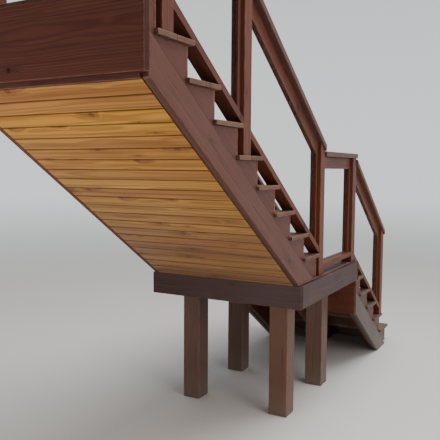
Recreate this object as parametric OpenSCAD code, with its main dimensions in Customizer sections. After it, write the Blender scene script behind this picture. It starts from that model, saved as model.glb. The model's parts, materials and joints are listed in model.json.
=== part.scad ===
// Wooden deck stairs: two straight flights with a landing on four posts between them,
// closed risers, a boarded soffit under the upper flight and glazed timber railings.
// X runs across the stairs, Y runs down them and Z is up, in millimetres.
// The origin lies on the ground under the middle of the whole stair.

/* [Steps] */
// Height of one step of the upper flight
rise = 170; // [155:1:185]
// Going of one step of the upper flight, riser face to riser face
going = 253; // [240:1:290]
// Height of one step of the lower flight, which has the same slope
lower_rise = 165; // [155:1:180]
// Number of treads in the upper flight
upper_treads = 8; // [6:1:10]
// Number of treads in the lower flight
lower_treads = 5; // [4:1:8]
// Thickness of the tread and floor boards
board_t = 25; // [20:1:32]
// Overhang of a tread past the riser below it
nose = 25; // [15:1:32]
// Gap between two boards that lie side by side
board_gap = 3; // [2:1:5]
// Thickness of a riser board
riser_t = 19; // [15:1:22]

/* [Sides] */
// Width of the stairs over the fascia boards
stair_w = 1160; // [900:10:1400]
// Thickness of a stringer
stringer_t = 38; // [32:1:45]
// Thickness of a fascia board
fascia_t = 38; // [25:1:45]
// Width of a fascia board, square to its slope
fascia_w = 164; // [140:1:185]
// Height from the top edge of a fascia up to the back corner of a tread
fascia_drop = 90; // [80:1:110]
// Distance from the face of the fascia in to the end of a tread
tread_inset = 15; // [5:1:25]

/* [Soffit] */
// Thickness of the soffit boards
soffit_t = 18; // [14:1:22]
// Width that one soffit board covers
soffit_board_w = 96; // [75:1:140]
// Depth of the groove between two soffit boards
groove_depth = 5; // [3:1:7]
// Gap between the soffit boards and a fascia
soffit_gap = 2; // [1:0.5:20]
// Thickness of the trim that covers the top end of the soffit
trim_t = 16; // [10:1:20]

/* [Header] */
// Thickness of the header board that bolts to the deck
header_t = 38; // [32:1:45]
// Distance from the top riser back to the header
header_back = 84; // [60:1:100]
// Width of the board at deck level over the header
top_board_w = 140; // [125:1:150]

/* [Landing] */
// Clear length of the landing between the two flights
landing_go = 914; // [850:1:1200]
// Height of the rim boards round the landing
rim_h = 158; // [140:1:164]
// Thickness of the rim boards
rim_t = 38; // [32:1:45]
// Overhang of the rim past the fascia on each side
rim_out = 15; // [5:1:30]
// Width of a floor board of the landing
floor_board_w = 140; // [90:1:150]
// Thickness of a landing joist
joist_t = 38; // [32:1:45]
// Side of a square landing post
leg_w = 140; // [120:1:160]
// Distance from the side of the rim in to a landing post
leg_side = 164; // [120:1:200]
// Distance from the upper end of the landing in to its first posts
leg_back = 170; // [100:1:250]
// Distance from the lower end of the landing in to its last posts
leg_front = 300; // [150:1:350]
// Height of the hanger board under the lower end of the landing
hanger_h = 300; // [290:1:330]

/* [Railing] */
// Side of a square railing post
post_w = 89; // [75:1:100]
// Distance from the face of the fascia in to the middle of the railing
rail_inset = 69; // [60:1:75]
// Tread of the upper flight that carries the middle post
middle_post_tread = 4; // [3:1:5]
// Distance from the nose of the tread above to the middle post
middle_post_in = 21; // [5:1:40]
// Height of the handrail above the line of the noses
handrail_h = 846; // [800:2:900]
// Height of the handrail above the landing
guard_h = 910; // [880:2:960]
// Thickness of the rails and stiles
rail_t = 38; // [32:1:45]
// Width of the bottom rails, which lie flat
bottom_rail_w = 84; // [60:1:89]
// Clearance between the noses and the bottom rail that runs over them
rail_clear = 1; // [0.5:0.5:10]
// Gap under the bottom rail of the landing
landing_rail_gap = 50; // [30:1:80]
// Width of the top rail under the cap
top_rail_w = 89; // [75:1:100]
// Width of the handrail cap
cap_w = 114; // [100:1:125]
// Thickness of the handrail cap
cap_t = 38; // [28:1:45]
// Distance that the cap runs past its first and last posts
cap_end = 10; // [0:1:60]
// Width of the upright stiles beside the posts
stile_w = 30; // [25:1:45]
// Thickness of the glass
glass_t = 8; // [6:1:12]
// Depth that the glass stands in its groove
glass_in = 8; // [5:1:10]
// Clearance round the glass in its groove
glass_gap = 0.5; // [0.3:0.1:0.8]

/* [Hidden] */
slope = rise / going;
pitch = atan(slope);
lower_going = lower_rise / slope;
// Heights of the two floors that the flights lead to
landing_z = (lower_treads + 1) * lower_rise;
deck_z = landing_z + (upper_treads + 1) * rise;
// Sizes measured upright that belong to boards lying on the slope
fascia_v = fascia_w / cos(pitch);
soffit_v = soffit_t / cos(pitch);
bottom_rail_v = rail_t / cos(pitch);
top_rail_v = top_rail_w / cos(pitch);
cap_v = cap_t / cos(pitch);
// Levels of sloping lines, measured up from the line through the noses of the treads
fascia_top_level = -rise - slope * nose - fascia_drop;
fascia_low_level = fascia_top_level - fascia_v;
stringer_level = fascia_low_level + soffit_v;
rail_low_level = rail_clear;
rail_top_level = rail_low_level + bottom_rail_v;
cap_low_level = handrail_h - cap_v;
top_rail_level = cap_low_level - top_rail_v;
// Places along the stairs, counted from the face of the top riser
header_face = -header_back - riser_t;
header_rear = header_face - header_t;
landing_back = ((upper_treads + 1) * rise + fascia_low_level) / slope + nose;
landing_front = upper_treads * going + landing_go;
stair_front = landing_front + lower_treads * lower_going + nose;
// Shift that puts the origin under the middle of the stairs
upper_y = -(header_rear + stair_front) / 2;
lower_y = upper_y + landing_front;
rim_back_y = upper_y + landing_back;
rim_w = stair_w + 2 * rim_out;
rim_z = landing_z - rim_h;
// Half widths across the stairs
half_w = stair_w / 2;
stringer_out = half_w - fascia_t;
stringer_in = stringer_out - stringer_t;
rail_x = half_w - rail_inset;
tread_half = half_w - tread_inset;
soffit_half = stringer_out - soffit_gap;
header_z = line_z(0, deck_z, fascia_low_level, header_rear);
hanger_z = rim_z - hanger_h;
// Posts of one railing: the y of the face that looks up the stairs
top_post_y = upper_y + nose;
middle_post_y = upper_y + (middle_post_tread - 1) * going + nose + middle_post_in;
landing_post_y = upper_y + upper_treads * going + nose;
corner_post_y = lower_y - post_w;
foot_post_y = lower_y + (lower_treads - 1) * lower_going + nose - post_w;
dark_stain = "#5a3324";
tread_stain = "#6b4636";
cedar = "#c8873f";

// Extrudes a side view, drawn as (y, z), from x0 to x1
module across(x0, x1) {
    translate([x0, 0, 0]) rotate([90, 0, 90]) linear_extrude(x1 - x0) children();
}

// A block between two corners
module block(low, high) {
    translate(low) cube(high - low);
}

// Mirrors a near side piece to the far side
module far() {
    mirror([1, 0, 0]) children();
}

// Height of a sloping line of a flight that starts at (y0, z0), at a place y
function line_z(y0, z0, level, y) = z0 + level - slope * (y - y0 - nose);

// Side view of a sloping band between two levels with upright ends
module band(y0, z0, low, high, ya, yb) {
    polygon([
        [ya, line_z(y0, z0, low, ya)], [yb, line_z(y0, z0, low, yb)],
        [yb, line_z(y0, z0, high, yb)], [ya, line_z(y0, z0, high, ya)]
    ]);
}

// Side view of everything above the floor that a flight stands on
module above(floor_z, ya, yb) {
    translate([ya, floor_z]) square([yb - ya, deck_z]);
}

// Side view of a notched stringer with count treads of going g and rise r, its top cut at start
module stringer_outline(y0, z0, g, r, count, start) {
    first = start < y0 ? [[start, z0 - board_t], [y0 - riser_t, z0 - board_t], [y0 - riser_t, z0 - r - board_t]]
                       : [[y0, z0 - r - board_t]];
    teeth = [for (k = [1:count]) each [
        [y0 + k * g - riser_t, z0 - k * r - board_t],
        [y0 + k * g - riser_t, z0 - (k + 1) * r - (k < count ? board_t : 0)]
    ]];
    floor_z = z0 - (count + 1) * r;
    heel_y = y0 + nose + (z0 + stringer_level - floor_z) / slope;
    begin = min(start, y0);
    polygon(concat(
        [[begin, line_z(y0, z0, stringer_level, begin)]], first, teeth,
        [[heel_y, floor_z]]
    ));
}

// A fascia board of a flight, cut off at start and at the floor that the flight stands on
module fascia(y0, z0, floor_z, start) {
    finish = y0 + nose + (z0 + fascia_top_level - floor_z) / slope;
    across(stringer_out, half_w) intersection() {
        band(y0, z0, fascia_low_level, fascia_top_level, start, finish);
        above(floor_z, start, finish);
    }
}

// Two boards that make a tread between back and front, at height z
module tread(back, front, z) {
    board = (front - back - board_gap) / 2;
    for (y = [back, front - board])
        block([-tread_half, y, z - board_t], [tread_half, y + board, z]);
}

// Risers number first to last, each standing on the tread in front of it
module risers(y0, z0, g, r, first, last) {
    for (k = [first:last])
        block([-stringer_out, y0 + (k - 1) * g - riser_t, z0 - k * r],
              [stringer_out, y0 + (k - 1) * g, z0 - (k - 1) * r - board_t]);
}

module upper_header() {
    color(dark_stain) block([-half_w, upper_y + header_rear, header_z],
                            [half_w, upper_y + header_face, deck_z - board_t]);
}

module upper_top_board() {
    front = upper_y + nose;
    color(tread_stain) block([-tread_half, front - top_board_w, deck_z - board_t], [tread_half, front, deck_z]);
}

module upper_stringer(x0) {
    color(dark_stain) across(x0, x0 + stringer_t)
        stringer_outline(upper_y, deck_z, going, rise, upper_treads, upper_y + header_face);
}

module lower_stringer(x0) {
    color(dark_stain) across(x0, x0 + stringer_t)
        stringer_outline(lower_y, landing_z, lower_going, lower_rise, lower_treads, lower_y);
}

module upper_fascia() {
    color(dark_stain) fascia(upper_y, deck_z, landing_z, upper_y + header_face);
}

module lower_fascia() {
    color(dark_stain) fascia(lower_y, landing_z, 0, lower_y);
}

// Each tread runs back under the riser that stands on it
module upper_tread(k) {
    face = upper_y + (k - 1) * going;
    color(tread_stain) tread(face - riser_t, face + going + nose, deck_z - k * rise);
}

// The first one butts against the landing's rim instead
module lower_tread(k) {
    face = lower_y + (k - 1) * lower_going;
    back = k > 1 ? face - riser_t : face;
    color(tread_stain) tread(back, face + lower_going + nose, landing_z - k * lower_rise);
}

module upper_risers() {
    color(dark_stain) risers(upper_y, deck_z, going, rise, 1, upper_treads + 1);
}

module lower_risers() {
    color(dark_stain) risers(lower_y, landing_z, lower_going, lower_rise, 2, lower_treads + 1);
}

// Boards with a V groove at each joint, laid across under the upper stringers
module upper_soffit() {
    start = upper_y + header_face;
    finish = upper_y + landing_back + soffit_v / slope;
    start_z = line_z(upper_y, deck_z, fascia_low_level, start);
    count = floor((finish - start) / cos(pitch) / soffit_board_w);
    color(cedar) across(-soffit_half, soffit_half) difference() {
        intersection() {
            band(upper_y, deck_z, fascia_low_level, stringer_level, start, finish);
            above(landing_z, start, finish);
        }
        for (i = [1:count])
            translate([start + i * soffit_board_w * cos(pitch), start_z - i * soffit_board_w * sin(pitch)])
                rotate(45 - pitch) square(groove_depth * sqrt(2), center = true);
    }
}

module upper_soffit_trim() {
    front = upper_y + header_face;
    low = line_z(upper_y, deck_z, fascia_low_level, front);
    color(dark_stain) block([-soffit_half, front - trim_t, low], [soffit_half, front, header_z]);
}

module landing_rim_back() {
    color(dark_stain) block([-rim_w / 2, rim_back_y, rim_z], [rim_w / 2, rim_back_y + rim_t, landing_z]);
}

module landing_rim_front() {
    color(dark_stain) block([-rim_w / 2, lower_y - rim_t, rim_z], [rim_w / 2, lower_y, landing_z]);
}

module landing_rim_side() {
    color(dark_stain) block([rim_w / 2 - rim_t, rim_back_y + rim_t, rim_z],
                            [rim_w / 2, lower_y - rim_t, landing_z]);
}

// Edge joists, doubled joists over the posts and one in the middle
module landing_joists() {
    edge = rim_w / 2 - rim_t - joist_t;
    over_leg = rim_w / 2 - leg_side - leg_w / 2;
    color(dark_stain) for (line = [[-edge - joist_t, joist_t], [-over_leg - joist_t, 2 * joist_t], [-joist_t / 2, joist_t],
                                   [over_leg - joist_t, 2 * joist_t], [edge, joist_t]])
        block([line[0], rim_back_y + rim_t, rim_z], [line[0] + line[1], lower_y - rim_t, landing_z - board_t]);
}

module landing_boards() {
    start = rim_back_y + rim_t;
    length = lower_y - rim_t - start;
    count = round((length + board_gap) / (floor_board_w + board_gap));
    board = (length + board_gap) / count - board_gap;
    color(tread_stain) for (i = [0:count - 1])
        block([rim_t - rim_w / 2, start + i * (board + board_gap), landing_z - board_t],
              [rim_w / 2 - rim_t, start + i * (board + board_gap) + board, landing_z]);
}

module landing_posts(y) {
    out = rim_w / 2 - leg_side;
    color(dark_stain) for (x = [-out, out - leg_w])
        block([x, y, 0], [x + leg_w, y + leg_w, rim_z]);
}

module lower_hanger_board() {
    color(dark_stain) block([-half_w, lower_y - rim_t, hanger_z], [half_w, lower_y, rim_z]);
}

// One railing post from floor_z up to a sloping or level top
module rail_post(y, floor_z, top_a, top_b) {
    across(rail_x - post_w / 2, rail_x + post_w / 2)
        polygon([[y, floor_z], [y + post_w, floor_z], [y + post_w, top_b], [y, top_a]]);
}

// A post of a flight, cut off under the handrail cap
module flight_post(y0, z0, y, floor_z) {
    rail_post(y, floor_z, line_z(y0, z0, cap_low_level, y), line_z(y0, z0, cap_low_level, y + post_w));
}

module rail_posts() {
    color(dark_stain) {
        flight_post(upper_y, deck_z, top_post_y, deck_z - rise);
        flight_post(upper_y, deck_z, middle_post_y, deck_z - middle_post_tread * rise);
        flight_post(upper_y, deck_z, landing_post_y, landing_z);
        rail_post(corner_post_y, landing_z, landing_z + guard_h - cap_t, landing_z + guard_h - cap_t);
        flight_post(lower_y, landing_z, foot_post_y, 2 * lower_rise);
    }
}

// Glass between two posts on a slope, grown by some clearance for its groove
module flight_glass(y0, z0, ya, yb, grow, thick) {
    edge = stile_w - glass_in - grow;
    across(rail_x - thick / 2, rail_x + thick / 2)
        band(y0, z0, rail_top_level - glass_in - grow, top_rail_level + glass_in + grow, ya + edge, yb - edge);
}

// Glass of the landing between two posts
module level_glass(ya, yb, grow, thick) {
    edge = stile_w - glass_in - grow;
    low = landing_z + landing_rail_gap + rail_t - glass_in - grow;
    high = landing_z + guard_h - cap_t - top_rail_w + glass_in + grow;
    block([rail_x - thick / 2, ya + edge, low], [rail_x + thick / 2, yb - edge, high]);
}

// Glass of all four panels, or the grooves that it stands in
module panel_glass(grow, thick) {
    flight_glass(upper_y, deck_z, top_post_y + post_w, middle_post_y, grow, thick);
    flight_glass(upper_y, deck_z, middle_post_y + post_w, landing_post_y, grow, thick);
    level_glass(landing_post_y + post_w, corner_post_y, grow, thick);
    flight_glass(lower_y, landing_z, corner_post_y + post_w, foot_post_y, grow, thick);
}

module glass() {
    color("#cfe0dc", 0.35) panel_glass(0, glass_t);
}

module grooves() {
    panel_glass(glass_gap, glass_t + 2 * glass_gap);
}

module rail_bar(width) {
    across(rail_x - width / 2, rail_x + width / 2) children();
}

// Side view of four rails between the posts: sloping ones between two levels, a flat one between two heights
module rail_lines(low_level, high_level, low, high) {
    band(upper_y, deck_z, low_level, high_level, top_post_y + post_w, middle_post_y);
    band(upper_y, deck_z, low_level, high_level, middle_post_y + post_w, landing_post_y);
    band(lower_y, landing_z, low_level, high_level, lower_y, foot_post_y);
    translate([landing_post_y + post_w, low]) square([corner_post_y - landing_post_y - post_w, high - low]);
}

// Boards that lie flat over the noses, with a groove for the glass
module bottom_rails() {
    low = landing_z + landing_rail_gap;
    color(dark_stain) difference() {
        rail_bar(bottom_rail_w) rail_lines(rail_low_level, rail_top_level, low, low + rail_t);
        grooves();
    }
}

// Boards on edge under the caps
module top_rails() {
    high = landing_z + guard_h - cap_t;
    color(dark_stain) difference() {
        rail_bar(rail_t) rail_lines(top_rail_level, cap_low_level, high - top_rail_w, high);
        grooves();
    }
}

// Caps of the three stretches, each a flat board over the posts and the top rail
module handrail_caps() {
    high = landing_z + guard_h;
    color(dark_stain) rail_bar(cap_w) {
        band(upper_y, deck_z, cap_low_level, handrail_h, top_post_y - cap_end, landing_post_y + post_w);
        band(lower_y, landing_z, cap_low_level, handrail_h, lower_y, foot_post_y + post_w + cap_end);
        translate([landing_post_y + post_w, high - cap_t])
            square([lower_y - landing_post_y - post_w, cap_t]);
    }
}

module flight_stiles(y0, z0, ya, yb) {
    band(y0, z0, rail_top_level, top_rail_level, ya, ya + stile_w);
    band(y0, z0, rail_top_level, top_rail_level, yb - stile_w, yb);
}

module stiles() {
    low = landing_z + landing_rail_gap + rail_t;
    high = landing_z + guard_h - cap_t - top_rail_w;
    color(dark_stain) difference() {
        rail_bar(rail_t) {
            flight_stiles(upper_y, deck_z, top_post_y + post_w, middle_post_y);
            flight_stiles(upper_y, deck_z, middle_post_y + post_w, landing_post_y);
            flight_stiles(lower_y, landing_z, corner_post_y + post_w, foot_post_y);
            for (y = [landing_post_y + post_w, corner_post_y - stile_w])
                translate([y, low]) square([stile_w, high - low]);
        }
        grooves();
    }
}

upper_header();
upper_top_board();
upper_stringer(stringer_in);  // upper_stringer_near
upper_stringer(-stringer_out);  // upper_stringer_far
upper_stringer(-stringer_t / 2);  // upper_stringer_middle
upper_fascia();  // upper_fascia_near
far() upper_fascia();  // upper_fascia_far
for (k = [1:upper_treads])
    upper_tread(k);
upper_risers();
upper_soffit();
upper_soffit_trim();
landing_rim_back();
landing_rim_front();
landing_rim_side();  // landing_rim_near
far() landing_rim_side();  // landing_rim_far
landing_joists();
landing_boards();
landing_posts(rim_back_y + leg_back);  // landing_posts_back
landing_posts(lower_y - leg_front - leg_w);  // landing_posts_front
lower_hanger_board();
lower_stringer(stringer_in);  // lower_stringer_near
lower_stringer(-stringer_out);  // lower_stringer_far
lower_stringer(-stringer_t / 2);  // lower_stringer_middle
lower_fascia();  // lower_fascia_near
far() lower_fascia();  // lower_fascia_far
for (k = [1:lower_treads])
    lower_tread(k);
lower_risers();
rail_posts();  // near_rail_posts
bottom_rails();  // near_bottom_rails
top_rails();  // near_top_rails
handrail_caps();  // near_handrail_caps
stiles();  // near_stiles
glass();  // near_glass
far() rail_posts();  // far_rail_posts
far() bottom_rails();  // far_bottom_rails
far() top_rails();  // far_top_rails
far() handrail_caps();  // far_handrail_caps
far() stiles();  // far_stiles
far() glass();  // far_glass
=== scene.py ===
"""Dresses the timber deck stairs: each board gets eased edges, its own grain and tone, and the screws
that hold it."""
import json
import math
import random
import zlib
from types import SimpleNamespace

import bmesh
import bpy
from mathutils import Matrix, Vector


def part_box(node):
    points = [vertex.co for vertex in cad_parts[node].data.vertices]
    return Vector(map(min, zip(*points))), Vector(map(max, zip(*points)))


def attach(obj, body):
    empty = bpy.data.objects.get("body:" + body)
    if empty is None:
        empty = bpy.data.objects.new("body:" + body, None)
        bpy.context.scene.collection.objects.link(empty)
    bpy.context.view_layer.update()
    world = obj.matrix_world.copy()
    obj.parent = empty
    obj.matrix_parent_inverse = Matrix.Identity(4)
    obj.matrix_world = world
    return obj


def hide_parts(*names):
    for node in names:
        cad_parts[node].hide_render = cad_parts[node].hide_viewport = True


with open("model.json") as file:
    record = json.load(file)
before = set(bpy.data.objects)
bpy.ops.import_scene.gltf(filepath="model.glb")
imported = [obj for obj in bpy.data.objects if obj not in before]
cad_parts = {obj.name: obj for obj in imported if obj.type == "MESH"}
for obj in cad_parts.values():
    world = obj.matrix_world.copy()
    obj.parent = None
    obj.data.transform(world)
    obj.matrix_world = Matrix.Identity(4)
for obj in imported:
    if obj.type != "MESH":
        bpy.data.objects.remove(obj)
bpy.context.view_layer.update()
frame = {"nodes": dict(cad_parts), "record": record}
NODES = frame["nodes"]

# Sizes of the part in metres, as its source names them
RISE, GOING = 0.170, 0.253
UPPER_TREADS, LOWER_TREADS = 8, 5
BOARD_GAP, FLOOR_BOARD_W, JOIST_T, RIM_T = 0.003, 0.140, 0.038, 0.038
FASCIA_W = 0.164
SOFFIT_T, SOFFIT_BOARD_W, GROOVE_DEPTH = 0.018, 0.096, 0.005
SLOPE = RISE / GOING
PITCH = math.atan(SLOPE)


# Node graphs

class Graph:
    """Short calls for building the nodes of a material or of the world."""

    def __init__(self, tree, mat=None):
        self.tree = tree
        self.mat = mat

    def add(self, kind, settings=None, **inputs):
        """Makes a node. Its inputs go by their names, or by i and a number."""
        n = self.tree.nodes.new(kind)
        for k, v in (settings or {}).items():
            setattr(n, k, v)
        for k, v in inputs.items():
            key = int(k[1:]) if k[0] == "i" and k[1:].isdigit() else k.replace("_", " ")
            self.put(n.inputs[key], v)
        return n

    def put(self, socket, v):
        if isinstance(v, bpy.types.NodeSocket):
            self.tree.links.new(v, socket)
        else:
            socket.default_value = v

    def math(self, op, a, b=0.0, c=0.0, clamp=False):
        settings = {"operation": op, "use_clamp": clamp}
        return self.add("ShaderNodeMath", settings, i0=a, i1=b, i2=c).outputs[0]

    def times(self, a, b, clamp=False):
        return self.math("MULTIPLY", a, b, clamp=clamp)

    def plus(self, a, b, clamp=False):
        return self.math("ADD", a, b, clamp=clamp)

    def vec(self, op, a, b=(0, 0, 0)):
        return self.add("ShaderNodeVectorMath", {"operation": op}, i0=a, i1=b).outputs[0]

    def stretch(self, a, by):
        return self.vec("MULTIPLY", a, by)

    def length(self, a):
        return self.add("ShaderNodeVectorMath", {"operation": "LENGTH"}, i0=a).outputs["Value"]

    def split(self, a):
        return self.add("ShaderNodeSeparateXYZ", None, Vector=a).outputs

    def join(self, x, y, z):
        return self.add("ShaderNodeCombineXYZ", None, X=x, Y=y, Z=z).outputs[0]

    def smooth(self, v, lo, hi, to_lo=0.0, to_hi=1.0):
        return self.add("ShaderNodeMapRange", {"interpolation_type": "SMOOTHSTEP"},
                        Value=v, From_Min=lo, From_Max=hi, To_Min=to_lo, To_Max=to_hi).outputs[0]

    def fall(self, v, lo, hi):
        """From 1 at lo to nothing at hi."""
        return self.smooth(v, lo, hi, 1.0, 0.0)

    def noise(self, vector, scale=1.0, detail=2.0, rough=0.5):
        return self.add("ShaderNodeTexNoise", None, Vector=vector, Scale=scale, Detail=detail,
                        Roughness=rough).outputs["Fac"]

    def cells(self, vector, scale, feature):
        settings = {"voronoi_dimensions": "2D", "feature": feature}
        return self.add("ShaderNodeTexVoronoi", settings, Vector=vector, Scale=scale).outputs

    def mix(self, fac, a, b):
        n = self.add("ShaderNodeMix", {"data_type": "RGBA", "blend_type": "MIX", "clamp_factor": True})
        self.put(n.inputs[0], fac)
        self.put(n.inputs[6], a)
        self.put(n.inputs[7], b)
        return n.outputs[2]

    def attribute(self, name):
        settings = {"attribute_name": name, "attribute_type": "GEOMETRY"}
        return self.add("ShaderNodeAttribute", settings)

    def place(self):
        """Where a point of the surface lies in the scene."""
        return self.add("ShaderNodeNewGeometry").outputs["Position"]

    def finish(self, **inputs):
        shader = self.add("ShaderNodeBsdfPrincipled", None, **inputs)
        self.add("ShaderNodeOutputMaterial", None, Surface=shader.outputs[0])
        return self.mat


def new_material(name):
    mat = bpy.data.materials.new(name)
    mat.use_nodes = True
    mat.node_tree.nodes.clear()
    return Graph(mat.node_tree, mat)


def rgb(*c):
    return (*c, 1.0)


def new_object(name, data):
    """Makes an object and puts it into the scene."""
    ob = bpy.data.objects.new(name, data)
    bpy.context.scene.collection.objects.link(ob)
    return ob


# Wood

# Knots and the flames round them are drawn out along the board, and their outlines are ragged: in turns a
# metre, and by so many metres
KNOT_STRETCH, FLAME_STRETCH = (0.8, 1.0, 1.0), (0.26, 1.0, 1.0)
RAGGED_SCALE, RAGGED = 90.0, 0.008
# The radius of the smallest knot in metres, and how much wider others may be
SMALL_KNOT, KNOT_SPREAD = 0.006, 0.011
# The random value from which a cell holds a knot, and how far from the cell's border the knot must keep
HAS_KNOT, OFF_BORDER = (0.22, 0.26), (0.01, 0.16)
# Where the heart ends, how wide its rim is to each side and where the flame ends, in radii of the knot
HEART_END, RIM_HALF, FLAME_END = (0.75, 1.05), 0.35, (0.8, 3.0)
# How dark the rim is, as a share of the heart
RIM_SHARE = 0.65

# How far rings wander and how far they flow round a knot, in metres
RING_WANDER, ROUND_KNOT = 0.05, 0.016
# The parts of a ring where late wood sets in and where it stops
LATE_BEGINS, LATE_ENDS = (0.30, 0.86), (0.90, 1.0)

# Noises in the wood: how often they turn in a metre along, across and through the board
WANDER = (1.3, 7.0, 7.0)
PALE_BANDS = (0.35, 16.0, 16.0)
STREAKS = (0.9, 34.0, 34.0)
FIBRES = (3.0, 260.0, 260.0)
CRACK_LINES = (2.4, 150.0, 150.0)
CRACK_PLACES = (2.0, 9.0, 9.0)
# Where each noise begins to show and where it shows in full
PALE_SHOWS, STREAK_SHOWS, FIBRE_SHOWS = (0.52, 0.68), (0.42, 0.72), (0.52, 0.78)
CRACK_SHOWS, CRACK_PLACE_SHOWS = (0.74, 0.79), (0.48, 0.58)

# Weather and wear: how grey faded wood is at the least, and how much more its fibres are
# The same grey also paints the shade low on the soffit
GREYED, DUST = rgb(0.140, 0.122, 0.108), rgb(0.20, 0.165, 0.13)
GREY_LEAST, GREY_BY_FIBRE = 0.6, 0.8
# The patches where arrises are rubbed, in turns a metre, and where they show
RUB_SCALE, RUB_SHOWS = 16.0, (0.35, 0.65)
# Dust: clouds in turns a metre, how far they drift up, and the heights where it is full and where it ends
DUST_SCALE, DUST_DRIFT, DUST_HEIGHT = 9.0, -0.20, (-0.10, 0.16)
# Scuffs: metres from the middle of the steps where they are full and where they end, and their patches
PATH_HALF, SCUFF_SCALE, SCUFF_SHOWS = (0.12, 0.44), 7.0, (0.35, 0.70)

# Gloss: blots in turns a metre, and how much duller blots, pores, rubbed arrises and dark ends are
BLOT_SCALE, BLOT_ROUGH, PORE_ROUGH, RUB_ROUGH, END_ROUGH = 3.2, 0.22, 0.25, 0.2, 0.45
# The mark from which an end is as dull as it gets, and the roughness of the coat
DARK_END, COAT_ROUGH = -0.9, 0.25
# Relief that is too fine for the mesh: shares of its depth, which is in metres
RING_RELIEF, FIBRE_RELIEF, DENT_RELIEF, CRACK_DENT = -0.35, -0.65, -0.8, 2.0
BUMP_STRENGTH, BUMP_DEPTH = 0.35, 0.0009


def knots(g, look, along, across):
    """Knots over the plane of the board: heart, rim and flame, each from 0 to 1."""
    flat = g.join(along, across, 0.0)
    cell = g.cells(flat, look.knots, "F1")
    chance = g.add("ShaderNodeSeparateColor", None, Color=cell["Color"]).outputs
    border = g.cells(flat, look.knots, "DISTANCE_TO_EDGE")["Distance"]
    ragged = g.times(g.math("SUBTRACT", g.noise(flat, RAGGED_SCALE), 0.5), RAGGED)
    away = g.vec("SUBTRACT", flat, cell["Position"])
    size = g.math("MULTIPLY_ADD", g.math("POWER", chance[1], 2.0), KNOT_SPREAD, SMALL_KNOT)
    near, drawn_out = (g.math("DIVIDE", g.plus(g.length(g.stretch(away, by)), ragged), size)
                       for by in (KNOT_STRETCH, FLAME_STRETCH))
    there = g.times(g.smooth(chance[0], *HAS_KNOT), g.smooth(border, *OFF_BORDER))
    heart = g.times(g.fall(near, *HEART_END), there)
    rim = g.times(g.fall(g.math("ABSOLUTE", g.math("SUBTRACT", near, 1.0)), 0.0, RIM_HALF), there)
    flame = g.times(g.fall(drawn_out, *FLAME_END), there)
    return heart, rim, flame


def growth_rings(g, look, grain, across, deep, flame):
    """Late wood from 0 to 1, in rings that wander along the board and flow round the knots."""
    slow = g.noise(g.stretch(grain, WANDER))
    radius = g.length(g.join(0.0, across, deep))
    radius = g.plus(radius, g.times(g.math("SUBTRACT", slow, 0.5), RING_WANDER))
    radius = g.plus(radius, g.times(flame, ROUND_KNOT))
    turn = g.math("FRACT", g.math("DIVIDE", radius, look.period))
    return g.times(g.smooth(turn, *LATE_BEGINS), g.fall(turn, *LATE_ENDS))


def figure(g, look, grain, rings, pores):
    """The colour of clear wood: pale bands, rings, streaks and pores."""
    bands = g.noise(g.stretch(grain, PALE_BANDS), detail=1.0)
    wide = g.noise(g.stretch(grain, STREAKS))
    body = g.mix(g.times(g.smooth(bands, *PALE_SHOWS), look.pale), look.early, look.sap)
    body = g.mix(g.times(rings, look.ring), body, look.late)
    body = g.mix(g.times(g.smooth(wide, *STREAK_SHOWS), look.streak), body, look.late)
    return g.mix(pores, body, look.knot)


def own_tone(g, look, body, shade):
    """Gives each board its own hue, richness and brightness."""
    hue, rich, tone = (g.math("MULTIPLY_ADD", shade, spread, middle - spread / 2)
                       for spread, middle in ((look.hue, 0.5), (look.rich, 1.0), (look.tone, 1.0)))
    return g.add("ShaderNodeHueSaturation", None, Hue=hue, Saturation=rich, Value=tone,
                 Color=body).outputs[0]


def cracks(g, look, grain):
    """Drying cracks: hair lines along the fibres, in some places only."""
    line = g.smooth(g.noise(g.stretch(grain, CRACK_LINES), detail=0.0), *CRACK_SHOWS)
    some = g.smooth(g.noise(g.stretch(grain, CRACK_PLACES), detail=1.0), *CRACK_PLACE_SHOWS)
    return g.times(g.times(line, some), look.cracks)


def splashes(g, look, colour, place):
    """Splashes and dust just above the ground."""
    cloud = g.noise(place, DUST_SCALE, detail=4.0, rough=0.6)
    low = g.fall(g.plus(g.split(place)[2], g.times(cloud, DUST_DRIFT)), *DUST_HEIGHT)
    return g.mix(g.times(low, look.dirt), colour, DUST)


def scuffs(g, look, colour, place):
    """Feet have scuffed the middle of the steps."""
    side = g.math("ABSOLUTE", g.split(place)[0])
    worn = g.smooth(g.noise(place, SCUFF_SCALE, detail=4.0, rough=0.7), *SCUFF_SHOWS)
    path = g.times(g.fall(side, *PATH_HALF), worn)
    return g.mix(g.times(path, look.tread), colour, look.worn)


def roughness(g, look, place, pores, rub_and_highlight, edge_and_painted_light):
    """How dull the wood is: in blots, more where fibres are open, where it is rubbed or has a painted
    highlight, and at dark ends and painted shade.
    """
    blot = g.noise(place, BLOT_SCALE, detail=3.0)
    gloss = g.math("MULTIPLY_ADD", blot, BLOT_ROUGH, look.rough - BLOT_ROUGH / 2)
    gloss = g.plus(gloss, g.times(pores, PORE_ROUGH))
    gloss = g.plus(gloss, g.times(rub_and_highlight, RUB_ROUGH), clamp=True)
    return g.plus(gloss, g.smooth(edge_and_painted_light, DARK_END, 0.0, END_ROUGH, 0.0), clamp=True)


def relief(g, rings, fine, rim, crack):
    """The feel of the surface: late wood, fibres, the rims of knots and cracks lie low."""
    height = g.plus(g.times(rings, RING_RELIEF), g.times(fine, FIBRE_RELIEF))
    dent = g.math("MAXIMUM", rim, g.times(crack, CRACK_DENT))
    height = g.plus(height, g.times(dent, DENT_RELIEF))
    return g.add("ShaderNodeBump", None, Strength=BUMP_STRENGTH, Distance=BUMP_DEPTH,
                 Height=height).outputs[0]


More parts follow.
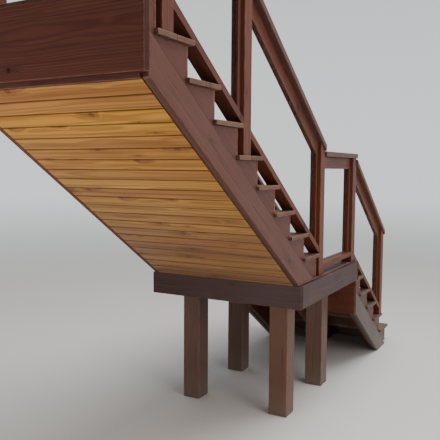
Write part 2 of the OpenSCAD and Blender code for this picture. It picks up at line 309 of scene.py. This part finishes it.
def wood(name, look):
    """Timber cut from a log: growth rings round a pith beside the board, fibres along it, knots, and a tone
    for each board. The grain attribute holds a place along, across and through the board, measured from the
    log's pith. The edge attribute is above 0 on rubbed arrises, paler riser ends and painted highlights, and
    below 0 on ends dark with stain and on painted shade."""
    g = new_material(name)
    grain = g.attribute("grain").outputs["Vector"]
    shade, edge_and_painted_light, fade = (g.attribute(n).outputs["Fac"] for n in ("tone", "edge", "fade"))
    place = g.place()
    along, across, deep = g.split(grain)
    heart, rim, flame = knots(g, look, along, across)
    rings = growth_rings(g, look, grain, across, deep, flame)
    fine = g.noise(g.stretch(grain, FIBRES), detail=3.0, rough=0.6)
    pores = g.times(g.smooth(fine, *FIBRE_SHOWS), look.fibre)
    crack = cracks(g, look, grain)

    body = figure(g, look, grain, rings, pores)
    body = g.mix(g.times(flame, look.flare), body, look.late)
    body = g.mix(g.times(heart, look.heart), body, look.knot)
    body = g.mix(g.times(rim, look.heart * RIM_SHARE), body, look.knot)
    body = own_tone(g, look, body, shade)
    # Ends and joints take up more stain, and marked faces on fascias and soffit get painted shade the same
    # way
    body = g.mix(g.times(edge_and_painted_light, -look.ends, clamp=True), body, look.knot)
    # Boards out in the weather have greyed, more along their fibres; low on the soffit this is painted shade
    grey = g.times(fade, g.math("MULTIPLY_ADD", fine, GREY_BY_FIBRE, GREY_LEAST), clamp=True)
    body = g.mix(grey, body, GREYED)
    body = g.mix(crack, body, look.knot)
    # Arrises are rubbed in patches, and the soffit's lit chamfers get a painted highlight the same way
    patch = g.smooth(g.noise(grain, RUB_SCALE, detail=3.0), *RUB_SHOWS)
    rub_and_highlight = g.times(g.times(edge_and_painted_light, patch), look.edge)
    colour = g.mix(rub_and_highlight, body, look.worn)
    if look.dirt:
        colour = splashes(g, look, colour, place)
    if look.tread:
        colour = scuffs(g, look, colour, place)
    return g.finish(Base_Color=colour, Roughness=roughness(g, look, place, pores, rub_and_highlight, edge_and_painted_light),
                    Normal=relief(g, rings, fine, rim, crack), Coat_Weight=look.coat,
                    Coat_Roughness=COAT_ROUGH, Specular_IOR_Level=look.shine)


# Each look holds colours, the period of the rings in metres, the knots' cells in a metre, and how strongly
# the rest shows. Tone, rich and hue say how far boards differ from each other
STAINED_LOOK = SimpleNamespace(
    early=rgb(0.132, 0.042, 0.027), late=rgb(0.070, 0.020, 0.013), knot=rgb(0.022, 0.008, 0.006),
    sap=rgb(0.18, 0.065, 0.040), worn=rgb(0.26, 0.125, 0.085),
    period=0.012, ring=0.50, fibre=0.35, streak=0.30, pale=0.35, knots=2.6, flare=0.5, heart=0.85,
    tone=0.30, rich=0.20, hue=0.012, ends=0.6, edge=0.40, cracks=0.8, dirt=0.40, tread=0.0,
    rough=0.50, shine=0.20, coat=0.04)
TREAD_LOOK = SimpleNamespace(
    early=rgb(0.180, 0.085, 0.055), late=rgb(0.105, 0.045, 0.030), knot=rgb(0.036, 0.018, 0.013),
    sap=rgb(0.24, 0.13, 0.09), worn=rgb(0.34, 0.23, 0.17),
    period=0.011, ring=0.55, fibre=0.50, streak=0.35, pale=0.4, knots=3.0, flare=0.5, heart=0.85,
    tone=0.35, rich=0.0, hue=0.015, ends=0.05, edge=0.35, cracks=0.8, dirt=0.3, tread=0.5,
    rough=0.62, shine=0.4, coat=0.0)
CEDAR_LOOK = SimpleNamespace(
    early=rgb(0.455, 0.212, 0.040), late=rgb(0.190, 0.062, 0.012), knot=rgb(0.038, 0.012, 0.004),
    sap=rgb(0.57, 0.32, 0.070), worn=rgb(0.78, 0.46, 0.10),
    period=0.016, ring=0.50, fibre=0.30, streak=0.60, pale=0.55, knots=3.9, flare=0.65, heart=0.50,
    tone=0.24, rich=0.05, hue=0.010, ends=0.62, edge=0.60, cracks=0.0, dirt=0.0, tread=0.0,
    rough=0.48, shine=0.18, coat=0.0)


# Metal and glass

# Spots on the metal: colour, turns a metre, where they show and how much duller they are
RUST, SPOT_SCALE, SPOT_SHOWS, SPOT_ROUGH = rgb(0.10, 0.075, 0.06), 400.0, (0.45, 0.7), 0.3
# The film on the glass: turns a metre, where it shows, what light it takes away and how dull it is
FILM_SCALE, FILM_SHOWS, FILM_DULLS, FILM_ROUGH = 5.0, (0.40, 0.75), 0.010, 0.006
# Dried rain, which ran down: turns a metre along each axis, where it shows and what light it takes away
DROPS, DROP_SHOWS, DROP_DULLS = (60.0, 60.0, 14.0), (0.66, 0.72), 0.02
GLASS_TINT, GLASS_CLEAR, GLASS_IOR = rgb(0.95, 0.985, 0.97), 0.998, 1.32


def metal(name, tint, rough):
    """Screw metal with small dark spots."""
    g = new_material(name)
    spots = g.noise(g.place(), SPOT_SCALE, detail=3.0)
    colour = g.mix(g.smooth(spots, *SPOT_SHOWS), tint, RUST)
    dull = g.math("MULTIPLY_ADD", spots, SPOT_ROUGH, rough - SPOT_ROUGH / 2, clamp=True)
    return g.finish(Base_Color=colour, Metallic=0.9, Roughness=dull)


def glass(name):
    """Clear glass with a thin uneven film of dust and dried rain on it."""
    g = new_material(name)
    place = g.place()
    film = g.smooth(g.noise(place, FILM_SCALE, detail=4.0), *FILM_SHOWS)
    drops = g.smooth(g.noise(g.stretch(place, DROPS)), *DROP_SHOWS)
    dust = g.math("MULTIPLY_ADD", film, FILM_DULLS, g.times(drops, DROP_DULLS))
    return g.finish(Base_Color=GLASS_TINT, Roughness=g.times(film, FILM_ROUGH),
                    Transmission_Weight=g.math("SUBTRACT", GLASS_CLEAR, dust), IOR=GLASS_IOR)


FINISH = {"stained_timber": wood("stained_timber", STAINED_LOOK),
          "tread_timber": wood("tread_timber", TREAD_LOOK),
          "cedar_soffit": wood("cedar_soffit", CEDAR_LOOK),
          "clear_glass": glass("clear_glass")}
STEEL = metal("screw_metal", tint=rgb(0.36, 0.34, 0.31), rough=0.42)
STAINED_STEEL = metal("stained_screw_metal", tint=rgb(0.10, 0.060, 0.045), rough=0.5)


# Boards

# Points this near to each other are one, in metres, and faces with less square metres don't count
WELD, TINY_FACE = 1e-5, 1e-5
# Thicknesses that differ less count as the same, in metres
SAME_SIZE = 1e-4
# Angles in radians: faces that lie in one plane, and the least corner that is eased
ONE_PLANE, CORNER = 0.01, 0.3
# The cosine between a face's normal and the board's length, at most for a side and at least for an end
SIDE, END = 0.03, 0.8
# A slanting direction, which settles for every board which way counts as through it
THROUGH = Vector((0.31, 0.37, -0.87))
# Where a board lay in its log: metres up or down it, shares of the board's width to the side, the distance
# from the pith in metres and how that varies
UP_THE_LOG, TO_THE_SIDE, PITH, PITH_VARIES = 40, 0.4, 0.07, (0.5, 1.6)
# A rounding wider than this, in metres, gets three faces, others two
WIDE_EDGE = 0.004


def reach(bm, axis):
    """How far a board extends along an axis: its least and greatest place."""
    places = [v.co.dot(axis) for v in bm.verts]
    return min(places), max(places)


def board_axes(bm):
    """The directions along, across and through a board."""
    long_edge = max(bm.edges, key=lambda e: e.calc_length())
    along = (long_edge.verts[1].co - long_edge.verts[0].co).normalized()
    thinnest, deep = None, None
    for f in bm.faces:
        if abs(f.normal.dot(along)) > SIDE or f.calc_area() < TINY_FACE:
            continue
        low, high = reach(bm, f.normal)
        if thinnest is None or high - low < thinnest - SAME_SIZE:
            thinnest, deep = high - low, f.normal.copy()
    deep = deep.normalized()
    if deep.dot(THROUGH) < 0:
        deep = -deep
    return along, deep.cross(along).normalized(), deep


class Lot:
    """Collects boards into one mesh, each with its own grain and tone."""

    def __init__(self, name):
        self.name = name
        self.verts, self.faces = [], []
        self.grain, self.tone, self.edge, self.grey = [], [], [], []
        self.fade, self.bias = 0.0, 0.0
        self.random = random.Random(zlib.crc32(name.encode()))

    def put(self, bm, edge_faces=(), pith=PITH, mark=None):
        """Takes over a board and stores where each point lies in its log. Faces of eased arrises are
        marked 1 and ends of the board -1, or as mark says: above 0 pale, below 0 dark, which also paints
        highlights and shade."""
        axes = board_axes(bm)
        along, across, _ = axes
        middle = [sum(reach(bm, a)) / 2 for a in axes]
        low, high = reach(bm, across)
        r = self.random
        shift = (r.uniform(-UP_THE_LOG, UP_THE_LOG), r.uniform(-TO_THE_SIDE, TO_THE_SIDE) * (high - low),
                 r.choice((-1, 1)) * pith * r.uniform(*PITH_VARIES))
        first = len(self.verts)
        for v in bm.verts:
            self.verts.append(v.co.copy())
            self.grain.append([v.co.dot(a) - m + s for a, m, s in zip(axes, middle, shift)])
        tone = r.random() + self.bias
        eased_faces = set(edge_faces)
        bm.verts.index_update()
        for f in bm.faces:
            self.faces.append([first + v.index for v in f.verts])
            worn = 1.0 if f in eased_faces else -1.0 if abs(f.normal.dot(along)) > END else 0.0
            self.edge.append(mark(f, worn) if mark else worn)
            self.tone.append(tone)
            self.grey.append(self.fade)

    def build(self, material, replaces=()):
        me = bpy.data.meshes.new(self.name)
        me.from_pydata(self.verts, [], self.faces)
        grain = me.attributes.new("grain", "FLOAT_VECTOR", "POINT")
        grain.data.foreach_set("vector", [c for v in self.grain for c in v])
        for name, values in (("tone", self.tone), ("edge", self.edge), ("fade", self.grey)):
            me.attributes.new(name, "FLOAT", "FACE").data.foreach_set("value", values)
        me.materials.append(material)
        me.polygons.foreach_set("use_smooth", [True] * len(me.polygons))
        me.update()
        ob = new_object(self.name, me)
        ob.modifiers.new("even_faces", "WEIGHTED_NORMAL").keep_sharp = True
        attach(ob, "root")
        if replaces:
            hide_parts(*replaces)


def islands(bm):
    """The groups of points that hang together."""
    left = set(bm.verts)
    groups = []
    while left:
        seed = left.pop()
        group, queue = {seed}, [seed]
        while queue:
            for e in queue.pop().link_edges:
                for v in e.verts:
                    if v in left:
                        left.discard(v)
                        group.add(v)
                        queue.append(v)
        groups.append(group)
    return groups


def centre(bm):
    """A key that sorts boards from the deck down the stairs, then by height, then from side to side."""
    return tuple(round(sum(v.co[i] for v in bm.verts) / len(bm.verts), 4) for i in (1, 2, 0))


def solids(node):
    """The separate solids of a CAD node, as clean meshes without the lines between triangles of one face."""
    src = NODES[node]
    bm = bmesh.new()
    bm.from_mesh(src.data)
    bm.transform(src.matrix_world)
    bmesh.ops.remove_doubles(bm, verts=bm.verts, dist=WELD)
    bmesh.ops.dissolve_limit(bm, angle_limit=ONE_PLANE, verts=bm.verts, edges=bm.edges)
    out = []
    for group in islands(bm):
        one = bmesh.new()
        made = {v: one.verts.new(v.co) for v in sorted(group, key=lambda v: v.index)}
        faces = {f for v in group for f in v.link_faces}
        for f in sorted(faces, key=lambda f: f.index):
            one.faces.new([made[v] for v in f.verts])
        bmesh.ops.recalc_face_normals(one, faces=one.faces)
        out.append(one)
    bm.free()
    return sorted(out, key=centre)


def eased(bm, radius):
    """Rounds the outer edges of a board and returns the faces of the rounding."""
    edges = [e for e in bm.edges if e.is_manifold and e.calc_face_angle(0) > CORNER and e.is_convex]
    if not edges:
        return []
    segments = 3 if radius > WIDE_EDGE else 2
    made = bmesh.ops.bevel(bm, geom=edges, offset=radius, segments=segments, profile=0.5,
                           affect="EDGES", clamp_overlap=True)
    return made["faces"]


# Marks for single faces, above 0 pale and below 0 dark: a painted shadow line, painted shade and a paler end
PAINTED_SHADOW_LINE, PAINTED_SHADE_UNDERSIDE, PALE_END = -1.4, -0.45, 1.6
# From which value of its normal on a face looks up, down or to the side
FACES_UP, FACES_DOWN, FACES_SIDEWAYS = 0.05, -0.5, 0.9


def fascia_mark(face, worn):
    """A painted shadow line runs along a fascia's top, and painted shade darkens its underside."""
    if face.normal.z > FACES_UP:
        return PAINTED_SHADOW_LINE
    return PAINTED_SHADE_UNDERSIDE if face.normal.z < FACES_DOWN else worn


def riser_mark(face, worn):
    """The ends of the risers are painted paler than the rest of the riser."""
    return PALE_END if abs(face.normal.x) > FACES_SIDEWAYS else worn


# In these tables the first key that a node's name contains says its value
MARKS = {"fascia": fascia_mark, "risers": riser_mark}
# How much paler than others a node's boards are, or below 0 darker
BIAS = {"landing_rim": -1.6, "landing_posts": 0.3, "lower_fascia": -1.4, "fascia": 0.3, "stringer": -0.5,
        "upper_soffit_trim": -0.8}
# How far boards in the open have greyed
FADE = {"lower_fascia": 0.65, "lower_tread": 0.40, "stringer": 0.06, "lower_risers": 0.25,
        "landing_boards": 0.30, "upper_tread": 0.12, "handrail_caps": 0.18, "landing_posts": 0.36,
        "landing_rim": 0.04, "upper_fascia": 0.12}
# How far edges are rounded, in metres
RADII = {"fascia": 0.008, "rail_posts": 0.005, "landing_posts": 0.006, "handrail_caps": 0.005,
         "tread": 0.0035, "stiles": 0.0015}
PLAIN_RADIUS = 0.0025


def first_fit(table, node, otherwise):
    return next((value for key, value in table.items() if key in node), otherwise)


def dress(node, slot):
    """Stands a set of eased boards in for a CAD node."""
    lot = Lot(node + "_boards")
    lot.bias = first_fit(BIAS, node, 0.0)
    lot.fade = first_fit(FADE, node, 0.0)
    mark = first_fit(MARKS, node, None)
    radius = first_fit(RADII, node, PLAIN_RADIUS)
    for bm in solids(node):
        lot.put(bm, eased(bm, radius), mark=mark)
        bm.free()
    lot.build(FINISH[slot], (node,))


def glaze(node):
    """Gives the panes their glass. They keep the mesh of the CAD."""
    materials = NODES[node].data.materials
    materials.clear()
    materials.append(FINISH["clear_glass"])


# Soffit

# Metres: half the joint behind the V, the V's depth, which is a hair more than the CAD's groove, how far
# the boards' ends stay inside the CAD's soffit, and how far off the pith lies
HALF_JOINT, V_DEPTH, SOFFIT_CLEAR, SOFFIT_PITH = 0.0010, GROOVE_DEPTH + 0.0005, 0.0005, 0.05
# Painted shade: the boards nearer the ground are painted greyer and darker
SOFFIT_SHADE_GREY, SOFFIT_SHADE_FROM, SOFFIT_SHADE_DARK = 0.40, 0.10, -0.7
DOWN = Vector((0, math.cos(PITCH), -math.sin(PITCH)))
INWARD = Vector((0, math.sin(PITCH), math.cos(PITCH)))
# How far a normal points out of the soffit when the face is the visible one, and at least on a chamfer
VISIBLE_FACE, CHAMFER = 0.95, 0.5
# Painted highlight on the lit chamfer; painted shade on the shaded chamfer and deep in the joint
LIT_CHAMFER, SHADED_CHAMFER, SHADE_IN_THE_JOINT = 0.9, -1.0, -1.2


def soffit_mark(face, worn):
    """The chamfer that looks down the slope gets a painted highlight, the other one and the tongue painted
    shade.
    """
    out = -face.normal.dot(INWARD)
    if out > VISIBLE_FACE:
        return 0.0
    if out <= CHAMFER:
        return SHADE_IN_THE_JOINT
    return LIT_CHAMFER if face.normal.dot(DOWN) > 0 else SHADED_CHAMFER


def soffit_board(top, start, sides):
    """One board from side to side, with half a V along each edge. Its start is metres down the slope."""
    a, b = start, start + SOFFIT_BOARD_W
    profile = [(a + HALF_JOINT, V_DEPTH), (a + V_DEPTH, 0), (b - V_DEPTH, 0), (b - HALF_JOINT, V_DEPTH),
               (b - HALF_JOINT, SOFFIT_T), (a + HALF_JOINT, SOFFIT_T)]
    bm = bmesh.new()
    left, right = ([bm.verts.new(top + DOWN * s + INWARD * n + Vector((x, 0, 0))) for s, n in profile]
                   for x in sides)
    for k in range(len(profile)):
        j = (k + 1) % len(profile)
        bm.faces.new((left[k], left[j], right[j], right[k]))
    bm.faces.new(left)
    bm.faces.new(list(reversed(right)))
    return bm


def cut_level(bm, height):
    """Takes away what lies below a height and closes the cut."""
    parts = bm.verts[:] + bm.edges[:] + bm.faces[:]
    cut = bmesh.ops.bisect_plane(bm, geom=parts, plane_co=Vector((0, 0, height)),
                                 plane_no=Vector((0, 0, -1)), clear_outer=True)
    rim = [e for e in cut["geom_cut"] if isinstance(e, bmesh.types.BMEdge)]
    if rim:
        bmesh.ops.edgenet_fill(bm, edges=rim)


def soffit():
    """One board beside another down the slope, with a V at each joint."""
    low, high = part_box("upper_soffit")
    # The visible face runs down from the trim's lower edge at the top end of the flight
    top_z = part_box("upper_soffit_trim")[0][2]
    top = Vector((0, low[1], top_z))
    count = math.ceil((top_z - low[2]) / math.sin(PITCH) / SOFFIT_BOARD_W)
    lot = Lot("upper_soffit_boards")
    for i in range(count):
        bm = soffit_board(top, i * SOFFIT_BOARD_W, (low[0] + SOFFIT_CLEAR, high[0] - SOFFIT_CLEAR))
        cut_level(bm, low[2])
        bmesh.ops.recalc_face_normals(bm, faces=bm.faces)
        bm.normal_update()
        # Painted shade: greyer and darker down the slope
        lot.fade = SOFFIT_SHADE_GREY * max(0.0, i / count - SOFFIT_SHADE_FROM)
        lot.bias = SOFFIT_SHADE_DARK * i / count
        lot.put(bm, pith=SOFFIT_PITH, mark=soffit_mark)
        bm.free()
    lot.build(FINISH["cedar_soffit"], ("upper_soffit",))


# Screws

# A head: its sides, and its rings as shares of its radius with their heights in metres
HEAD_SIDES = 16
HEAD_RINGS = [(1.0, -0.0008), (1.0, 0.0002), (0.85, 0.0007), (0.55, 0.0009)]
# The cross in it, in shares of the radius and then heights
CROSS_EVERY, CROSS_ARM, CROSS_WAIST = 4, 0.50, 0.16
CROSS_FLOOR, CROSS_MIDDLE = -0.0006, -0.0010
# The radius of a head in treads and floor, and in rims and fascias
TREAD_HEAD, BOARD_HEAD = 0.0042, 0.0038
# How far a head may be turned, in radians, and how far it strays from its place
ANY_TURN, STRAY = 6.28, 0.002
# Treads: from the front and back edges, and from the joint between the two boards
FROM_EDGE, FROM_JOINT = 0.040, 0.028
# Landing boards: from their edges, and from the floor's side to the middle of the joists over the posts
FROM_BOARD_EDGE, POST_JOIST_IN = 0.03, 0.196
# Rims: heights about the middle line
RIM_ROWS = (-0.045, 0.0, 0.045)
# Fascias: a pair's places about the middle line, the step from pair to pair, the first pair's distance from
# the upper end, and what both ends together leave free
FASCIA_PAIR, FASCIA_STEP, FASCIA_FIRST, FASCIA_ENDS = (-0.055, 0.055), 0.55, 0.16, 0.42


def screw(lot, place, normal, size):
    """A countersunk screw head with a cross in it, a hair proud of the board."""
    side = normal.orthogonal().normalized()
    turned = Matrix.Rotation(lot.random.uniform(0, ANY_TURN), 3, normal) @ side
    place = place + side * lot.random.uniform(-STRAY, STRAY)
    other = normal.cross(turned)
    first = len(lot.verts)
    rings = [([share] * HEAD_SIDES, height) for share, height in HEAD_RINGS]
    # The cross is the innermost ring, low down, where every fourth point reaches out
    arms = [CROSS_ARM if k % CROSS_EVERY == 0 else CROSS_WAIST for k in range(HEAD_SIDES)]
    for shares, height in rings + [(arms, CROSS_FLOOR)]:
        for k, share in enumerate(shares):
            a = 2 * math.pi * k / HEAD_SIDES
            out = (turned * math.cos(a) + other * math.sin(a)) * size * share
            lot.verts.append(place + out + normal * height)
    lot.verts.append(place + normal * CROSS_MIDDLE)
    pairs = [(k, (k + 1) % HEAD_SIDES) for k in range(HEAD_SIDES)]
    last = first + len(rings) * HEAD_SIDES
    for a in range(first, last, HEAD_SIDES):
        b = a + HEAD_SIDES
        lot.faces += [[a + k, a + j, b + j, b + k] for k, j in pairs]
    lot.faces += [[last + k, last + j, last + HEAD_SIDES] for k, j in pairs]
    while len(lot.grain) < len(lot.verts):
        lot.grain.append([0.0, 0.0, 0.0])
    while len(lot.tone) < len(lot.faces):
        lot.tone.append(0.5)
        lot.edge.append(0.0)
        lot.grey.append(0.0)


def tread_screws():
    """Two screws through every board of the treads and the landing into each stringer or joist below it."""
    up = Vector((0, 0, 1))
    lot = Lot("tread_screws")
    # The stringers of both flights stand in the same three lines
    stringers = [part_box("upper_stringer_" + s) for s in ("near", "middle", "far")]
    for flight, count in (("upper", UPPER_TREADS), ("lower", LOWER_TREADS)):
        for k in range(1, count + 1):
            lo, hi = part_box(f"{flight}_tread_{k}")
            board = (hi[1] - lo[1] - BOARD_GAP) / 2
            for y in (lo[1] + FROM_EDGE, lo[1] + board - FROM_JOINT, hi[1] - board + FROM_JOINT,
                      hi[1] - FROM_EDGE):
                for left, right in stringers:
                    screw(lot, Vector(((left[0] + right[0]) / 2, y, hi[2])), up, TREAD_HEAD)
    lo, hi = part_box("landing_boards")
    count = round((hi[1] - lo[1] + BOARD_GAP) / (FLOOR_BOARD_W + BOARD_GAP))
    board = (hi[1] - lo[1] + BOARD_GAP) / count - BOARD_GAP
    left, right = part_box("landing_joists")
    post_joist = hi[0] - POST_JOIST_IN
    rows = [left[0] + JOIST_T / 2, -post_joist, 0.0, post_joist, right[0] - JOIST_T / 2]
    for i in range(count):
        b = lo[1] + i * (board + BOARD_GAP)
        for y in (b + FROM_BOARD_EDGE, b + board - FROM_BOARD_EDGE):
            for x in rows:
                screw(lot, Vector((x, y, hi[2])), up, TREAD_HEAD)
    lot.build(STEEL)


def rim_screws(lot):
    """Screws through the landing's front and back rims into the ends of its side rims."""
    back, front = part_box("landing_rim_back"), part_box("landing_rim_front")
    middle = (back[0][2] + back[1][2]) / 2
    for box, y, way in ((back, back[0][1], -1), (front, front[1][1], 1)):
        for x in (box[0][0] + RIM_T / 2, box[1][0] - RIM_T / 2):
            for h in RIM_ROWS:
                screw(lot, Vector((x, y, middle + h)), Vector((0, way, 0)), BOARD_HEAD)


def fascia_screws(lot):
    """Pairs of screws along the middle line of each fascia, square to it."""
    half_plumb = FASCIA_W / math.cos(PITCH) / 2
    for flight in ("upper", "lower"):
        for way, node in ((1, flight + "_fascia_near"), (-1, flight + "_fascia_far")):
            lo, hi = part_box(node)
            x = hi[0] if way > 0 else lo[0]
            length = hi[1] - lo[1]
            rows = max(2, round(length / FASCIA_STEP))
            for i in range(rows):
                y = lo[1] + FASCIA_FIRST + (length - FASCIA_ENDS) * i / (rows - 1)
                z = hi[2] - half_plumb - SLOPE * (y - lo[1])
                for h in FASCIA_PAIR:
                    place = Vector((x, y + h * math.sin(PITCH), z + h * math.cos(PITCH)))
                    screw(lot, place, Vector((way, 0, 0)), BOARD_HEAD)


def board_screws():
    """Stained screw heads where the landing's rims and the fascias are fixed."""
    lot = Lot("board_screws")
    rim_screws(lot)
    fascia_screws(lot)
    lot.build(STAINED_STEEL)


# Stage and camera

# The floor: sides and radius of its disc in metres, and its clouds in turns a metre
FLOOR_SIDES, FLOOR_RADIUS, FLOOR_CLOUDS = 96, 250.0, 0.7
FLOOR_DARK, FLOOR_PALE, BLACK = rgb(0.74, 0.73, 0.71), rgb(0.80, 0.79, 0.77), rgb(0.0, 0.0, 0.0)
# Powers of ten of the metres where the floor begins to fade and where it has gone
FLOOR_FADES = (0.6, 1.6)
# The backdrop: its greys, the way that is pale, and the cosines from which it turns and where it is all pale
BEHIND_VIEWER, BEHIND_OBJECT = rgb(0.22, 0.22, 0.22), rgb(0.95, 0.97, 0.99)
VIEW, BACKDROP_TURNS = (0.35, 0.94, 0.0), (-0.8, 0.05)
# The light from all round dims upwards: the heights where that begins and ends, and what is left
SKY_DIMS, SKY_LEAST = (0.02, 0.75), 0.48
# Soft square lights: name, place, what they point at, width in metres, watts and tint
LIGHTS = (("side", (5.6, -2.4, 3.5), (0.4, -0.6, 1.9), 3.0, 88, (1.0, 0.93, 0.85)),
          ("under", (-0.6, -3.3, 0.7), (-0.1, -1.9, 2.4), 1.2, 27, (1.0, 0.93, 0.82)),
          ("top", (1.8, 0.2, 8.0), (0, 0, 1.2), 5.0, 540, (1.0, 0.97, 0.93)))
# The camera as fitted to the photo: metres, degrees and millimetres
EYE = (2.039, -4.1874, 1.765)
YAW, TILT, ROLL = 28.75, -4.767, 0.374
LENS, SENSOR = 49.92, 36.0
# How far it sees, in metres
SIGHT = 600.0


def backdrop(g, way):
    """The grey that closes the view all round: pale behind the object, darker behind the viewer."""
    ahead = g.add("ShaderNodeVectorMath", {"operation": "DOT_PRODUCT"}, i0=way, i1=VIEW).outputs["Value"]
    return g.mix(g.smooth(ahead, *BACKDROP_TURNS), BEHIND_VIEWER, BEHIND_OBJECT)


def pale_floor(name):
    """A plain floor that fades into the backdrop away from the object."""
    g = new_material(name)
    place = g.place()
    far = g.smooth(g.math("LOGARITHM", g.length(place), 10.0), *FLOOR_FADES)
    near = g.mix(g.noise(place, FLOOR_CLOUDS, detail=4.0), FLOOR_DARK, FLOOR_PALE)
    return g.finish(Base_Color=g.mix(far, near, BLACK), Roughness=0.9, Specular_IOR_Level=0.0,
                    Emission_Color=backdrop(g, g.vec("NORMALIZE", place)), Emission_Strength=far)


def floor_disc():
    me = bpy.data.meshes.new("floor")
    turns = [2 * math.pi * k / FLOOR_SIDES for k in range(FLOOR_SIDES)]
    verts = [(FLOOR_RADIUS * math.cos(t), FLOOR_RADIUS * math.sin(t), 0.0) for t in turns]
    me.from_pydata(verts, [], [list(range(FLOOR_SIDES))])
    me.materials.append(pale_floor("pale_floor"))
    floor = new_object("floor", me)


def studio():
    """The backdrop all round, which dims towards the zenith."""
    world = bpy.data.worlds.new("studio")
    bpy.context.scene.world = world
    world.use_nodes = True
    g = Graph(world.node_tree)
    way = g.add("ShaderNodeTexCoord").outputs["Generated"]
    back = g.tree.nodes["Background"]
    g.put(back.inputs[0], backdrop(g, way))
    g.put(back.inputs[1], g.smooth(g.split(way)[2], *SKY_DIMS, 1.0, SKY_LEAST))


def light(name, place, aim, width, power, tint):
    data = bpy.data.lights.new(name, "AREA")
    data.shape = "SQUARE"
    data.size = width
    data.energy = power
    data.color = tint
    ob = new_object(name, data)
    ob.location = place
    ob.rotation_euler = (Vector(aim) - Vector(place)).to_track_quat("-Z", "Y").to_euler()
    ob.visible_camera = False
    ob.visible_transmission = False


def camera():
    yaw, tilt, roll = math.radians(YAW), math.radians(TILT), math.radians(ROLL)
    ahead = Vector((-math.sin(yaw) * math.cos(tilt), math.cos(yaw) * math.cos(tilt), math.sin(tilt)))
    right = Vector((math.cos(yaw), math.sin(yaw), 0))
    up = right.cross(ahead)
    x = right * math.cos(roll) + up * math.sin(roll)
    y = up * math.cos(roll) - right * math.sin(roll)
    data = bpy.data.cameras.new("photo_camera")
    data.sensor_width = SENSOR
    data.lens = LENS
    data.clip_end = SIGHT
    ob = new_object("photo_camera", data)
    ob.matrix_world = Matrix.Translation(EYE) @ Matrix((x, y, -ahead)).transposed().to_4x4()
    bpy.context.scene.camera = ob


# The whole scene

for subpart in frame["record"]["subparts"]:
    node, slot = subpart["node"], subpart["material_slot"]
    if slot == "clear_glass":
        glaze(node)
    elif node != "upper_soffit":
        dress(node, slot)
soffit()
tread_screws()
board_screws()
floor_disc()
studio()
for settings in LIGHTS:
    light(*settings)
camera()
